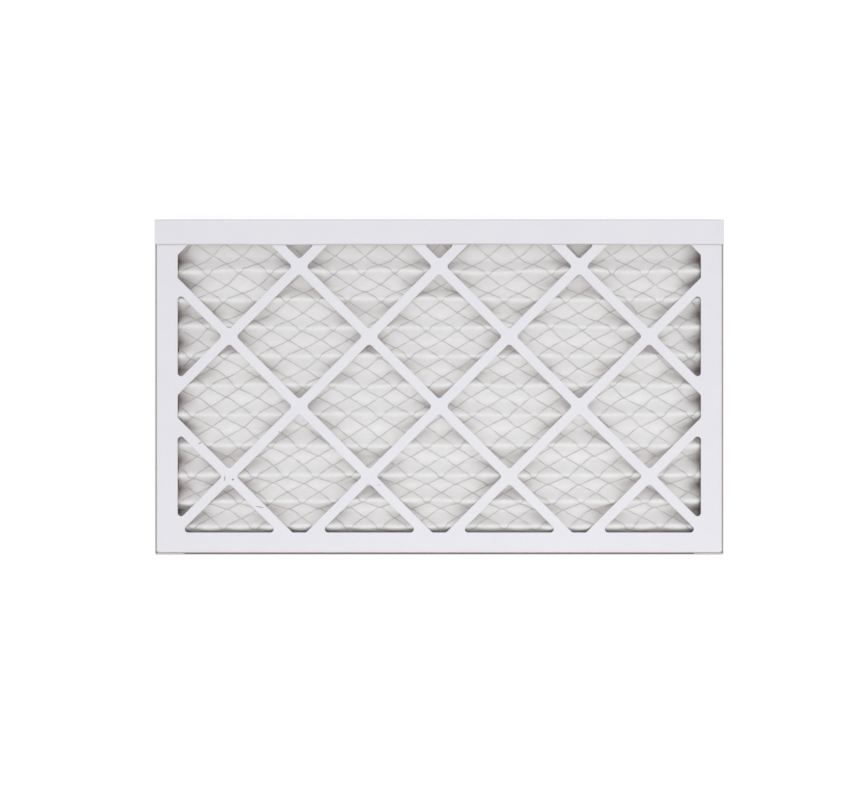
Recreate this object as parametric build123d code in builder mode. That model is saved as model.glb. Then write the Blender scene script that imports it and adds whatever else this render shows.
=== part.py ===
"""Pleated panel air filter, 1 in deep, lying on its rear face.

A pleated nonwoven sheet, backed on its front by a diamond wire mesh, sits between two folded
board trays. Each tray has a lattice face of diagonal strips. The inner tray carries the front
lattice and nests inside the outer tray, whose top wall folds over the front as a closing flap.

Frame: X along the long side, +Y towards the closing flap, +Z towards the front (air-leaving)
face. The origin is the centre of the footprint, on the rear face. Millimetres.
"""

import math
import os

from build123d import *

# Overall size: the actual size of a nominal 12 x 20 x 1 in filter.
panel_length = 495.3
panel_width = 292.1
panel_depth = 19.05

# Frame board and the way it folds.
board = 0.7
fold_radius = 1.0
nest_gap = 0.8
flap_width = 22.0
tab_length = 25.0
tab_clearance = 0.05

# Lattice: diagonal strips at 45 degrees, crossing every lattice_pitch along both diagonals.
window_length = 456.0
window_width = 253.6
strip_width = 8.5
lattice_pitch = 122.0
lattice_shift_y = -16.8
window_corner_cut = 1.8

# Pleats: the sheet is scored evenly, so every leg has one length and only the opening varies.
# Each fold is round on its outside and pressed sharp on its inside.
media_thickness = 1.2
media_fold_radius = 1.3
pack_length = 458.0
first_crest_y = 125.1
pleat_pitches = (23.7, 24.5, 24.5, 25.0, 25.7, 25.7, 27.0, 25.9, 22.8, 22.0)
leg_length = 18.6
end_leg_reach = 4.9
crest_below_lattice = 1.7

# Diamond mesh of slit and stretched sheet, bonded to the front of the media.
wire_thickness = 0.4
wire_width = 0.8
mesh_pitch = 27.3

# Adhesive beads on the rear border, against the pleat ends and the end legs.
bead_width = 11.0
bead_height = 2.0
bead_edge_radius = 0.9

# Levels and outlines worked out from the sizes above.
front_face_top = panel_depth - board
front_face_underside = front_face_top - board
bend_line_radius = fold_radius - board / 2
inner_length = panel_length - 2 * (board + nest_gap)
inner_width = panel_width - 2 * (board + nest_gap)
crest_z = front_face_underside - crest_below_lattice
end_leg_foot_z = board + media_thickness


def cut_lattice_windows(z_low):
    """Cuts the windows between the diagonal strips out of a face whose underside is at z_low.

    The corners of a window are eased with a short straight cut.
    """
    reach = math.ceil((window_length + window_width) / 2 / lattice_pitch)
    strip_length = 2 * (window_length + window_width)
    with BuildSketch(Plane.XY.offset(z_low)) as windows:
        Rectangle(window_length, window_width)
        for step in range(-reach, reach + 1):
            with Locations((step * lattice_pitch, lattice_shift_y)):
                Rectangle(strip_length, strip_width, rotation=45, mode=Mode.SUBTRACT)
                Rectangle(strip_length, strip_width, rotation=-45, mode=Mode.SUBTRACT)
        chamfer(windows.vertices(), window_corner_cut)
    extrude(windows.sketch, amount=board, mode=Mode.SUBTRACT)


def folded_board(section_plane, path_points, half_run):
    """Folds a strip of board along path_points in section_plane, for half_run to each side."""
    with BuildSketch(section_plane) as section:
        with BuildLine():
            FilletPolyline(*path_points, radius=bend_line_radius)
        trace(line_width=board)
    extrude(section.sketch, amount=half_run, both=True)


# ---------------------------------------------------------------- rear frame, the outer tray
wall_line_x = (panel_length - board) / 2
wall_line_y = (panel_width - board) / 2
tab_line_y = wall_line_y - board - tab_clearance
face_line = board / 2
flap_line = panel_depth - board / 2
flap_end_y = panel_width / 2 - flap_width

with BuildPart() as rear_frame:
    # Bottom wall, rear face, top wall and closing flap are one run of folds.
    folded_board(
        Plane.YZ,
        [
            (-wall_line_y, front_face_top),
            (-wall_line_y, face_line),
            (wall_line_y, face_line),
            (wall_line_y, flap_line),
            (flap_end_y, flap_line),
        ],
        panel_length / 2 - fold_radius,
    )
    # Side walls fold up from the same face.
    folded_board(
        Plane.XZ,
        [
            (-wall_line_x, front_face_top),
            (-wall_line_x, face_line),
            (wall_line_x, face_line),
            (wall_line_x, front_face_top),
        ],
        panel_width / 2 - board - fold_radius,
    )
    # Each side wall carries a glue tab at both ends, folded behind the long walls.
    for side in (-1, 1):
        with BuildSketch(Plane.XY.offset(fold_radius)) as wall_and_tabs:
            with BuildLine():
                FilletPolyline(
                    (side * (wall_line_x - tab_length), -tab_line_y),
                    (side * wall_line_x, -tab_line_y),
                    (side * wall_line_x, tab_line_y),
                    (side * (wall_line_x - tab_length), tab_line_y),
                    radius=bend_line_radius,
                )
            trace(line_width=board)
        extrude(amount=front_face_top - fold_radius)
    # The long walls and the flap run on to the outer corners, past the ends of the rear face.
    folded_board(
        Plane.YZ,
        [(wall_line_y, fold_radius), (wall_line_y, flap_line), (flap_end_y, flap_line)],
        panel_length / 2,
    )
    with BuildSketch(Plane.YZ):
        with Locations((-wall_line_y, fold_radius)):
            Rectangle(board, front_face_top - fold_radius, align=(Align.CENTER, Align.MIN))
    extrude(amount=panel_length / 2, both=True)
    cut_lattice_windows(0)

rear_frame.part.label = "rear_frame"

# --------------------------------------------------------------- front frame, the inner tray
inner_wall_x = (inner_length - board) / 2
inner_wall_y = (inner_width - board) / 2
front_face_line = front_face_top - board / 2

with BuildPart() as front_frame:
    folded_board(
        Plane.YZ,
        [
            (-inner_wall_y, board),
            (-inner_wall_y, front_face_line),
            (inner_wall_y, front_face_line),
            (inner_wall_y, board),
        ],
        inner_length / 2 - fold_radius,
    )
    folded_board(
        Plane.XZ,
        [
            (-inner_wall_x, board),
            (-inner_wall_x, front_face_line),
            (inner_wall_x, front_face_line),
            (inner_wall_x, board),
        ],
        inner_width / 2 - fold_radius,
    )
    cut_lattice_windows(front_face_underside)

front_frame.part.label = "front_frame"


# ------------------------------------------------------------------------------ fold line
def pleat_folds():
    """The fold corners of the sheet's middle line, from the top end leg to the bottom one.

    A valley lies midway between its crests. Its depth follows from the fixed leg length, so a
    pleat that is pulled wider is shallower.
    """
    crest_y = first_crest_y
    corners = [(crest_y + end_leg_reach, end_leg_foot_z), (crest_y, crest_z)]
    for pitch in pleat_pitches:
        drop = math.sqrt(leg_length**2 - (pitch / 2) ** 2)
        corners.append((crest_y - pitch / 2, crest_z - drop))
        crest_y -= pitch
        corners.append((crest_y, crest_z))
    corners.append((crest_y - end_leg_reach, end_leg_foot_z))
    return [Vector(0, y, z) for y, z in corners]


def front_normal(start, end):
    """The unit normal, towards the front, of the leg that runs down the page from start."""
    along = (end - start).normalized()
    return Vector(0, along.Z, -along.Y)


def offset_fold(index, distance):
    """The fold corner of the surface that lies distance in front of the middle line."""
    last = len(folds) - 1
    before = front_normal(folds[max(index - 1, 0)], folds[max(index, 1)])
    after = front_normal(folds[min(index, last - 1)], folds[min(index + 1, last)])
    half_sum = before + after
    return folds[index] + half_sum * (2 * distance / half_sum.length**2)


# ---------------------------------------------------------------------------- pleated media
folds = pleat_folds()
fold_count = len(folds)
front_corners = [offset_fold(index, media_thickness / 2) for index in range(fold_count)]
rear_corners = [offset_fold(index, -media_thickness / 2) for index in range(fold_count)]
sheet_corners = front_corners + rear_corners[::-1]
is_crest = [0 < index < fold_count - 1 and index % 2 == 1 for index in range(fold_count)]
is_valley = [0 < index < fold_count - 1 and index % 2 == 0 for index in range(fold_count)]
rounded = is_crest + is_valley[::-1]

with BuildPart() as pleated_media:
    with BuildSketch(Plane.YZ):
        with BuildLine():
            FilletPolyline(
                *[(corner.Y, corner.Z) for corner in sheet_corners],
                radius=[media_fold_radius if is_round else 0 for is_round in rounded],
                close=True,
            )
        make_face()
    extrude(amount=pack_length / 2, both=True)
    # The score lines divide the sheet into flat legs, which meet on the mitre planes.
    for index in range(1, fold_count - 1):
        crease = front_corners[index] - rear_corners[index]
        split(
            bisect_by=Plane(origin=folds[index], x_dir=(1, 0, 0), z_dir=Vector(1, 0, 0).cross(crease)),
            keep=Keep.BOTH,
        )

pleated_media.part.label = "pleated_media"


# ----------------------------------------------------------------------------- diamond mesh
def strand_outline(crest_offset):
    """One zigzag of strands across a leg, as (x, s) points, with s running from crest to valley.

    Nodes are mesh_pitch apart on the crest side, and half a pitch further on the valley side.
    crest_offset is how far past the crest corner the strands meet.
    """
    half_pitch = mesh_pitch / 2
    slope = leg_length / half_pitch
    tip = wire_width / 4
    overrun = (wire_width / 2 - tip) * slope
    notch = wire_width / 2 * slope
    crest_s = -crest_offset
    valley_s = leg_length - crest_offset
    count = math.ceil(pack_length / mesh_pitch / 2) + 1
    crest_side = []
    valley_side = []
    for step in range(-count, count + 1):
        node_x = step * mesh_pitch
        crest_side.append((node_x - tip, crest_s - overrun))
        crest_side.append((node_x + tip, crest_s - overrun))
        valley_side.append((node_x, crest_s + notch))
        if step < count:
            crest_side.append((node_x + half_pitch, valley_s - notch))
            valley_side.append((node_x + half_pitch - tip, valley_s + overrun))
            valley_side.append((node_x + half_pitch + tip, valley_s + overrun))
    return crest_side + valley_side[::-1]


wire_inner = media_thickness / 2
wire_outer = wire_inner + wire_thickness
typical_half_angle = math.asin(sum(pleat_pitches) / len(pleat_pitches) / 2 / leg_length)
crest_offset = (wire_inner + wire_thickness / 2) / math.tan(typical_half_angle)

with BuildPart() as support_mesh:
    for index in range(1, fold_count - 2):
        goes_down = folds[index].Z > folds[index + 1].Z
        crest = folds[index] if goes_down else folds[index + 1]
        valley = folds[index + 1] if goes_down else folds[index]
        normal = front_normal(folds[index], folds[index + 1])
        toward_valley = (valley - crest).normalized()
        leg_plane = Plane(origin=crest, x_dir=(1, 0, 0), z_dir=normal)
        s_sign = 1 if leg_plane.y_dir.dot(toward_valley) > 0 else -1
        outline = [(x, s_sign * s) for x, s in strand_outline(crest_offset)]
        with BuildPart(mode=Mode.PRIVATE) as leg_mesh:
            with BuildSketch(leg_plane):
                with BuildLine():
                    Polyline(*outline, close=True)
                make_face()
            extrude(amount=wire_outer + wire_thickness)
            with BuildSketch(Plane.YZ) as leg_section:
                with BuildLine():
                    corners = [
                        offset_fold(index, wire_inner),
                        offset_fold(index, wire_outer),
                        offset_fold(index + 1, wire_outer),
                        offset_fold(index + 1, wire_inner),
                    ]
                    Polyline(*[(corner.Y, corner.Z) for corner in corners], close=True)
                make_face()
            extrude(amount=pack_length / 2, both=True, mode=Mode.INTERSECT)
        add(leg_mesh.part)

support_mesh.part.label = "support_mesh"

# -------------------------------------------------------------------------- adhesive beads
media_box = pleated_media.part.bounding_box()
pack_width = media_box.max.Y - media_box.min.Y
pack_middle_y = (media_box.max.Y + media_box.min.Y) / 2
side_bead_x = (pack_length + bead_width) / 2
end_bead_y = (pack_width + bead_width) / 2
end_bead_length = pack_length + 2 * bead_width


def bead(section_plane, centre_line, half_run):
    """A flat adhesive bead on the rear border, with rounded upper edges."""
    with BuildSketch(section_plane) as section:
        with Locations((centre_line, board)):
            Rectangle(bead_width, bead_height, align=(Align.CENTER, Align.MIN))
        fillet(section.vertices().group_by(Axis.Y)[-1], bead_edge_radius)
    extrude(section.sketch, amount=half_run, both=True)


side_bead_plane = Plane.XZ.offset(-pack_middle_y)

with BuildPart() as seal_left:
    bead(side_bead_plane, -side_bead_x, pack_width / 2)
seal_left.part.label = "seal_left"

with BuildPart() as seal_right:
    bead(side_bead_plane, side_bead_x, pack_width / 2)
seal_right.part.label = "seal_right"

with BuildPart() as seal_top:
    bead(Plane.YZ, pack_middle_y + end_bead_y, end_bead_length / 2)
seal_top.part.label = "seal_top"

with BuildPart() as seal_bottom:
    bead(Plane.YZ, pack_middle_y - end_bead_y, end_bead_length / 2)
seal_bottom.part.label = "seal_bottom"

# ---------------------------------------------------------------------------------- export
os.makedirs("parts", exist_ok=True)
export_step(rear_frame.part, "parts/rear_frame.step")
export_step(front_frame.part, "parts/front_frame.step")
export_step(pleated_media.part, "parts/pleated_media.step")
export_step(support_mesh.part, "parts/support_mesh.step")
export_step(seal_left.part, "parts/seal_left.step")
export_step(seal_right.part, "parts/seal_right.step")
export_step(seal_top.part, "parts/seal_top.step")
export_step(seal_bottom.part, "parts/seal_bottom.step")
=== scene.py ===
"""Dresses the pleated panel air filter: board trays, pleated sheet, wire mesh and adhesive.

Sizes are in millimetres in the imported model's frame: X along the long side, +Y towards the
closing flap, +Z towards the front face, with the origin at the centre of the rear face. They
become metres where a mesh is made.
"""

import logging
import math
from collections.abc import Callable
from dataclasses import dataclass, field
from enum import Enum

import bpy
import numpy as np
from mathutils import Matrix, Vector
from mathutils.geometry import tessellate_polygon


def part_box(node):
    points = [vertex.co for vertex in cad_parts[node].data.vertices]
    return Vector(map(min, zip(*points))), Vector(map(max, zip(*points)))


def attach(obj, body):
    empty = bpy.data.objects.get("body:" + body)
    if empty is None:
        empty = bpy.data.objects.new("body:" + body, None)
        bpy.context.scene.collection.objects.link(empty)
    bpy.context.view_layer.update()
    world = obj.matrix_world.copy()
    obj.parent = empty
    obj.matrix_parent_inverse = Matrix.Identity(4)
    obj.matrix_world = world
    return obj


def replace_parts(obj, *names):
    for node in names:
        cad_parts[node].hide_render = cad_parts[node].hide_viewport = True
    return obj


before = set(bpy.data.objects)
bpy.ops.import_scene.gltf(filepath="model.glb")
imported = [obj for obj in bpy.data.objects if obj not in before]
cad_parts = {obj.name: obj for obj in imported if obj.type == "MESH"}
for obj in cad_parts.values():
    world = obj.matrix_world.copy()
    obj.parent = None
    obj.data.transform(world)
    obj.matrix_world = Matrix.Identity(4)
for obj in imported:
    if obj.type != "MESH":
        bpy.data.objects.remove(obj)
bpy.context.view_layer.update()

MM = 0.001
BODY = "root"
LOG = logging.getLogger("air_filter")

# The sine waves of one noise field, and how far their mean is spread to fill -1 to 1.
NOISE_WAVES = 6
NOISE_SPREAD = 1.6
# Rows of strands in the wire mesh from one crest to the next.
ROWS_PER_PLEAT = 3
# Smaller turns, slopes and gaps than this count as none.
TINY = 1e-6

Colour = tuple[float, float, float, float]
Point = tuple[float, float, float]
HalfRun = float | Callable[[np.ndarray], np.ndarray]


class Side(Enum):
    """Which side of its board or sheet a face shows."""

    COATED = 0.0
    CREASED = 0.2
    CUT_EDGE = 0.5
    LINER = 1.0


class Run(Enum):
    """The axis that a folded board runs along."""

    X = "x"
    Y = "y"
    Z = "z"


# ------------------------------------------------------------------------------ mesh tools
@dataclass
class Skin:
    """Closed shells as arrays of points and faces, with one Side value for each face."""

    points: np.ndarray
    faces: list[np.ndarray]
    sides: list[np.ndarray]

    def outward(self) -> "Skin":
        """Turns the faces round where the shell is inside out.

        The signed volume is a sixth of the sum, over a fan of triangles in each face, of the
        triple product of the corners. It is negative when the faces point inwards.

        Returns:
            A shell whose faces point outwards.
        """
        volume = 0.0
        for group in self.faces:
            corner = self.points[group]
            first = corner[:, :1]
            fan = np.cross(corner[:, 1:-1], corner[:, 2:])
            volume += float((first * fan).sum())
        if volume >= 0:
            return self
        return Skin(self.points, [group[:, ::-1] for group in self.faces], self.sides)


def joined(skins: list[Skin]) -> Skin:
    """Puts several shells into one set of arrays.

    Args:
        skins: The shells, each with its own point numbers.

    Returns:
        One Skin, with the point numbers of each shell moved past those before it.
    """
    starts = np.cumsum([0] + [len(skin.points) for skin in skins])
    return Skin(
        np.concatenate([skin.points for skin in skins]),
        [group + start for skin, start in zip(skins, starts) for group in skin.faces],
        [side for skin in skins for side in skin.sides],
    )


def shell(points: np.ndarray, *groups: tuple[np.ndarray, Side]) -> Skin:
    """Makes a shell that faces outwards from its points and groups of faces, each with a Side."""
    sides = [np.full(len(faces), side.value) for faces, side in groups]
    return Skin(points, [faces for faces, _ in groups], sides).outward()


def sheet_skin(front: np.ndarray, back: np.ndarray, front_side: Side, back_side: Side) -> Skin:
    """Closes two facing grids of one sheet into a shell.

    The faces are the squares of both grids, and a rim of squares that joins the border of one
    grid to the border of the other, all the way round.

    Args:
        front: Points of one face of the sheet, as rows x columns x 3.
        back: Points of the other face, in the same order.
        front_side: What the front grid shows.
        back_side: What the back grid shows.

    Returns:
        The closed shell, facing outwards.
    """
    rows, columns = front.shape[:2]
    count = rows * columns
    ids = np.arange(count).reshape(rows, columns)
    squares = np.stack([ids[:-1, :-1], ids[1:, :-1], ids[1:, 1:], ids[:-1, 1:]], axis=-1)
    squares = squares.reshape(-1, 4)
    border = np.concatenate([ids[0, :], ids[1:, -1], ids[-1, -2::-1], ids[-2:0:-1, 0]])
    after = np.roll(border, -1)
    rim = np.stack([border, after, after + count, border + count], axis=-1)
    points = np.concatenate([front.reshape(-1, 3), back.reshape(-1, 3)])
    turned = squares[:, ::-1] + count
    return shell(points, (squares, front_side), (turned, back_side), (rim, Side.CUT_EDGE))


def tube_skin(rings: np.ndarray, side: Side) -> Skin:
    """Closes a row of rings into a solid bar with flat ends.

    Args:
        rings: Points as rings x points round each ring x 3.
        side: What the whole bar shows.

    Returns:
        The closed shell, facing outwards.
    """
    count, around = rings.shape[:2]
    ids = np.arange(count * around).reshape(count, around)
    beside = np.roll(ids, -1, axis=1)
    squares = np.stack([ids[:-1], ids[1:], beside[1:], beside[:-1]], axis=-1).reshape(-1, 4)
    ends = np.stack([ids[0], ids[-1][::-1]])
    return shell(rings.reshape(-1, 3), (squares, side), (ends, side))


def linked(name: str, data: bpy.types.ID) -> bpy.types.Object:
    """Makes an object of some data and puts it into the scene."""
    made = bpy.data.objects.new(name, data)
    bpy.context.scene.collection.objects.link(made)
    return made


def make_piece(
    name: str, skin: Skin, finish: bpy.types.Material, smooth_angle: float = 35.0
) -> bpy.types.Object:
    """Makes the Blender object of a skin and lets it ride on the filter.

    Args:
        name: The piece's name.
        skin: Its points, in millimetres, and faces.
        finish: Its material.
        smooth_angle: Edges that turn by less than this many degrees are shaded smooth.

    Returns:
        The new object, at the origin, with its place in its mesh.
    """
    sizes = np.concatenate([np.full(len(group), group.shape[1]) for group in skin.faces])
    corners = np.concatenate([group.ravel() for group in skin.faces])
    starts = np.concatenate([[0], np.cumsum(sizes)[:-1]])
    mesh = bpy.data.meshes.new(name)
    mesh.vertices.add(len(skin.points))
    mesh.vertices.foreach_set("co", (skin.points * MM).astype(np.float32).ravel())
    mesh.loops.add(len(corners))
    mesh.loops.foreach_set("vertex_index", corners.astype(np.int32))
    mesh.polygons.add(len(sizes))
    mesh.polygons.foreach_set("loop_start", starts.astype(np.int32))
    mesh.update(calc_edges=True)
    mesh.validate()
    shown = mesh.attributes.new("side", "FLOAT", "FACE")
    shown.data.foreach_set("value", np.concatenate(skin.sides).astype(np.float32))
    mesh.polygons.foreach_set("use_smooth", np.ones(len(mesh.polygons), dtype=bool))
    mesh.set_sharp_from_angle(angle=math.radians(smooth_angle))
    mesh.materials.append(finish)
    piece = linked(name, mesh)
    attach(piece, BODY)
    LOG.info("%s: %d points, %d faces", name, len(skin.points), len(sizes))
    return piece


def rounded_path(
    corners: np.ndarray, radius: float | np.ndarray, arc_steps: int, leg_spread: np.ndarray
) -> tuple[np.ndarray, np.ndarray]:
    """Samples a polyline whose inner corners are rounded.

    An inner corner becomes an arc that touches both legs. The arc takes the radius times the
    tangent of half the turn off each leg. Its points are the centre, plus or minus the radius
    along the leg's normal turned by a share of the corner's turn.

    Args:
        corners: The polyline's corners, as n x 2.
        radius: The arcs' radius, or one for each inner corner.
        arc_steps: How many steps each arc is divided into.
        leg_spread: Where the points of a straight leg lie, as shares of it from 0 to 1.

    Returns:
        The points, and at each the unit normal to the left of the path, both as m x 2.
    """
    legs = np.diff(corners, axis=0)
    along = legs / np.linalg.norm(legs, axis=1, keepdims=True)
    normal = np.stack([-along[:, 1], along[:, 0]], axis=1)
    before, after = along[:-1], along[1:]
    turn = np.arctan2(
        before[:, 0] * after[:, 1] - before[:, 1] * after[:, 0], (before * after).sum(axis=1)
    )
    radius = np.broadcast_to(radius, turn.shape)[:, None]
    cut = radius * np.tan(np.abs(turn) / 2)[:, None]
    starts, ends = corners[:-1].copy(), corners[1:].copy()
    starts[1:] += after * cut
    ends[:-1] -= before * cut
    straight = starts[:, None] + (ends - starts)[:, None] * leg_spread[None, :, None]
    straight_normal = np.broadcast_to(normal[:, None], straight.shape)
    angle = turn[:, None] * (np.arange(1, arc_steps) / arc_steps)[None, :]
    cosine, sine = np.cos(angle), np.sin(angle)
    base = normal[:-1]
    arc_normal = np.stack(
        [
            base[:, :1] * cosine - base[:, 1:] * sine,
            base[:, :1] * sine + base[:, 1:] * cosine,
        ],
        axis=-1,
    )
    side = np.sign(turn)[:, None]
    centre = ends[:-1] + base * radius * side
    arc = centre[:, None] - arc_normal * (radius * side)[..., None]
    points = np.concatenate([straight[:-1], arc], axis=1).reshape(-1, 2)
    normals = np.concatenate([straight_normal[:-1], arc_normal], axis=1).reshape(-1, 2)
    return np.concatenate([points, straight[-1]]), np.concatenate([normals, straight_normal[-1]])


def placed(run: Run, section: np.ndarray, along: np.ndarray) -> np.ndarray:
    """Puts section points at distances along a run.

    Args:
        run: The axis of the run. The section's two numbers are the other two axes, in order.
        section: Points as ... x 2.
        along: Distances along the run, in the same shape without the last axis.

    Returns:
        Points as ... x 3.
    """
    first, second = section[..., 0], section[..., 1]
    order = {
        Run.X: (along, first, second),
        Run.Y: (first, along, second),
        Run.Z: (first, second, along),
    }[run]
    return np.stack(np.broadcast_arrays(*order), axis=-1)


def gentle_noise(
    rng: np.random.Generator, x: np.ndarray, s: np.ndarray, length: float
) -> np.ndarray:
    """A smooth uneven field: the mean of sine waves that cross the sheet in several directions.

    Args:
        rng: The source of the waves' directions, lengths and phases.
        x: Positions across the sheet.
        s: Positions along the sheet.
        length: The typical wavelength.

    Returns:
        Values from about -1 to 1, in the shape of x and s together.
    """
    heading = rng.uniform(0, np.pi, NOISE_WAVES)
    wavelength = length * rng.uniform(0.7, 1.5, NOISE_WAVES)
    phase = rng.uniform(0, 2 * np.pi, NOISE_WAVES)
    total = np.zeros(np.broadcast(x, s).shape)
    for angle, step, start in zip(heading, wavelength, phase):
        total += np.sin(2 * np.pi * (x * np.cos(angle) + s * np.sin(angle)) / step + start)
    return total / NOISE_WAVES * NOISE_SPREAD


# --------------------------------------------------------------------------- shader tools
class NodeTree:
    """Adds nodes to one shader tree and links them."""

    def __init__(self, tree: bpy.types.NodeTree) -> None:
        """Keeps the tree."""
        self.tree = tree

    def add(self, kind: str, inputs: dict | None = None, **settings: object) -> bpy.types.Node:
        """Adds a node.

        Args:
            kind: The node's type.
            inputs: Values or sockets for its inputs, by name or number.
            settings: Values for its properties.

        Returns:
            The new node.
        """
        node = self.tree.nodes.new(kind)
        for name, value in settings.items():
            setattr(node, name, value)
        self.feed(node, inputs or {})
        return node

    def feed(self, node: bpy.types.Node, inputs: dict) -> None:
        """Sets a node's inputs, by name or number, to values, or links them to sockets."""
        for socket, value in inputs.items():
            if isinstance(value, bpy.types.NodeSocket):
                self.tree.links.new(value, node.inputs[socket])
            else:
                node.inputs[socket].default_value = value

    def maths(self, operation: str, *terms: object) -> bpy.types.NodeSocket:
        """Adds a Math node on the terms and returns its result."""
        node = self.add("ShaderNodeMath", dict(enumerate(terms)), operation=operation)
        return node.outputs[0]

    def tinted(self, factor: object, low: object, high: object) -> bpy.types.NodeSocket:
        """Adds a colour mix from low to high by factor and returns its result."""
        node = self.add("ShaderNodeMix", {0: factor, 6: low, 7: high}, data_type="RGBA")
        return node.outputs[2]

    def scaled(
        self, value: object, low: float, high: float, to_low: float, to_high: float
    ) -> bpy.types.NodeSocket:
        """Adds a clamped Map Range from low..high to to_low..to_high and returns its result."""
        node = self.add(
            "ShaderNodeMapRange",
            {
                "Value": value,
                "From Min": low,
                "From Max": high,
                "To Min": to_low,
                "To Max": to_high,
            },
        )
        return node.outputs[0]

    def noise(
        self, point: object, scale: object, detail: float, rough: float, bend: float = 0.0
    ) -> bpy.types.NodeSocket:
        """Adds a Noise Texture at a point and returns its factor."""
        inputs = {"Vector": point, "Scale": scale, "Detail": detail, "Roughness": rough}
        return self.add("ShaderNodeTexNoise", inputs | {"Distortion": bend}).outputs["Fac"]

    def grained(
        self, point: object, broad: float, fine: float, depth: float
    ) -> bpy.types.bpy_prop_collection:
        """Places the shared grain group at a point with its own sizes and returns its outputs."""
        grain = bpy.data.node_groups.get(GRAIN_NAME) or grain_group()
        sizes = {"Vector": point, "Broad": broad, "Fine": fine, "Depth": depth}
        return self.add("ShaderNodeGroup", sizes, node_tree=grain).outputs

    def toned(self, colour: object, tone: object) -> bpy.types.NodeSocket:
        """Adds a product of a colour and a tone and returns its result."""
        return self.add("ShaderNodeVectorMath", {0: colour, 3: tone}, operation="SCALE").outputs[0]

    def bumped(self, height: object, strength: float, distance: float) -> bpy.types.NodeSocket:
        """Adds a Bump node and returns its normal."""
        relief = {"Height": height, "Strength": strength, "Distance": distance}
        return self.add("ShaderNodeBump", relief).outputs["Normal"]

    def seen_directly(self) -> bpy.types.NodeSocket:
        """Adds a mask that is one for rays from the camera, by way of mirrors and glass too."""
        rays = self.add("ShaderNodeLightPath").outputs
        seen = self.maths("MAXIMUM", rays["Is Camera Ray"], rays["Is Glossy Ray"])
        return self.maths("MAXIMUM", seen, rays["Is Transmission Ray"])


def new_group(name: str, inputs: dict[str, str], outputs: dict[str, str]) -> NodeTree:
    """Makes an empty shader node group with named sockets.

    Args:
        name: The group's name.
        inputs: Socket types by input name.
        outputs: Socket types by output name.

    Returns:
        The group's tree, with its input and output nodes added as "in" and "out".
    """
    tree = bpy.data.node_groups.new(name, "ShaderNodeTree")
    for label, kind in inputs.items():
        tree.interface.new_socket(label, in_out="INPUT", socket_type=kind)
    for label, kind in outputs.items():
        tree.interface.new_socket(label, in_out="OUTPUT", socket_type=kind)
    tree.nodes.new("NodeGroupInput").name = "in"
    tree.nodes.new("NodeGroupOutput").name = "out"
    return NodeTree(tree)


VECTOR, FLOAT = "NodeSocketVector", "NodeSocketFloat"
GRAIN_NAME = "uneven_grain"


def grain_group() -> bpy.types.NodeTree:
    """Builds the shared uneven tone and fine grain of paper, web, metal and glue.

    The tone is broad noise and finer noise, mixed and spread round one by the depth. The
    height is the fine noise alone, for a bump.

    Returns:
        The group, with Vector, Broad, Fine and Depth in, and Tone, Height and Blotch out.
    """
    group = new_group(
        GRAIN_NAME,
        {"Vector": VECTOR, "Broad": FLOAT, "Fine": FLOAT, "Depth": FLOAT},
        {"Tone": FLOAT, "Height": FLOAT, "Blotch": FLOAT},
    )
    source = group.tree.nodes["in"].outputs
    broad = group.noise(source["Vector"], source["Broad"], 3.0, 0.55)
    fine = group.noise(source["Vector"], source["Fine"], 4.0, 0.65)
    centred = group.maths("SUBTRACT", group.maths("ADD", broad, fine), 1.0)
    tone = group.maths("MULTIPLY_ADD", centred, source["Depth"], 1.0)
    group.feed(group.tree.nodes["out"], {"Tone": tone, "Height": fine, "Blotch": broad})
    return group.tree


def mark_group() -> bpy.types.NodeTree:
    """Builds the mask of one small scuff: an ellipse with a ragged outline.

    The point is moved to the mark's centre, turned and divided by the mark's half sizes. The
    mask falls from one to zero where the length of that, roughened by noise, passes one.

    Returns:
        The group, with Vector, Centre, Turn and Reach in, and Mask out.
    """
    group = new_group(
        "scuff_mark",
        {"Vector": VECTOR, "Centre": VECTOR, "Turn": VECTOR, "Reach": VECTOR},
        {"Mask": FLOAT},
    )
    source = group.tree.nodes["in"].outputs
    frame_of_mark = {"Location": source["Centre"], "Rotation": source["Turn"]}
    frame_of_mark |= {"Vector": source["Vector"], "Scale": source["Reach"]}
    local = group.add("ShaderNodeMapping", frame_of_mark, vector_type="TEXTURE")
    distance = group.add("ShaderNodeVectorMath", {0: local.outputs[0]}, operation="LENGTH")
    ragged = group.noise(source["Vector"], 1400.0, 2.0, 0.5)
    uneven = group.maths("MULTIPLY_ADD", ragged, 0.9, distance.outputs["Value"])
    group.feed(group.tree.nodes["out"], {"Mask": group.scaled(uneven, 0.95, 1.55, 1.0, 0.0)})
    return group.tree


# -------------------------------------------------------------------------------- finishes
@dataclass(frozen=True)
class Scuff:
    """A small dark mark on the front lattice, in millimetres and degrees."""

    x: float
    y: float
    half_length: float
    half_width: float
    turn: float = 0.0
    strength: float = 0.8


@dataclass(frozen=True)
class Finish:
    """A material: its name, and the nodes and values that its shader is fed with."""

    name: str = "finish"

    def look(self, nodes: NodeTree) -> dict:
        """Adds the finish's own nodes.

        Args:
            nodes: The material's tree.

        Returns:
            Values or sockets for the inputs of the Principled BSDF.
        """
        raise NotImplementedError

    def material(self) -> bpy.types.Material:
        """Builds the material and returns it."""
        material = bpy.data.materials.new(self.name)
        material.use_nodes = True
        nodes = NodeTree(material.node_tree)
        nodes.feed(nodes.tree.nodes["Principled BSDF"], self.look(nodes))
        return material


def object_point(nodes: NodeTree) -> bpy.types.NodeSocket:
    """Adds the piece's own coordinates and returns them."""
    return nodes.add("ShaderNodeTexCoord").outputs["Object"]


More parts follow.
